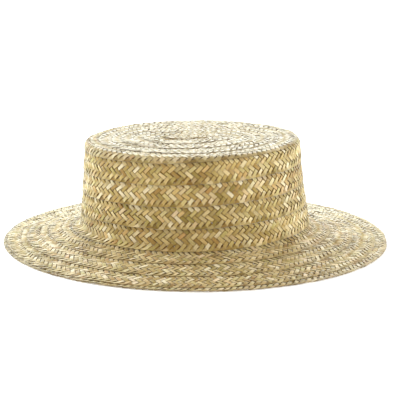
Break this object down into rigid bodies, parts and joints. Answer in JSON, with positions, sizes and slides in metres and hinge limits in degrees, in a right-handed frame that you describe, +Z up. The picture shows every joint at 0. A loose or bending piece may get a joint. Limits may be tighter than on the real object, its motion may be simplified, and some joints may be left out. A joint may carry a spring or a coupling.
{
  "type": "straw boater hat",
  "caption": "Plain straw boater with a flat-topped oval crown and a stiff, gently sloping brim, sewn from one spiral of flat plait.",
  "frame": {"origin": "middle of the brim on the surface that the hat rests on", "axes": "+Z up through the crown, +X along the long way of the head, -Y towards the front side that the picture shows"},
  "size_m": [0.3338, 0.3098, 0.0921],
  "materials": {
    "straw": "natural flat-plaited straw with a soft waxy sheen, golden to cream, slightly greenish in places"
  },
  "bodies": {
    "root": {"tip_row_1": "straw", "tip_row_2": "straw", "tip_row_3": "straw", "tip_row_4": "straw", "side_row_1": "straw", "side_row_2": "straw", "side_row_3": "straw", "side_row_4": "straw", "brim_row_1": "straw", "brim_row_2": "straw", "brim_row_3": "straw", "brim_row_4": "straw"}
  },
  "joints": []
}
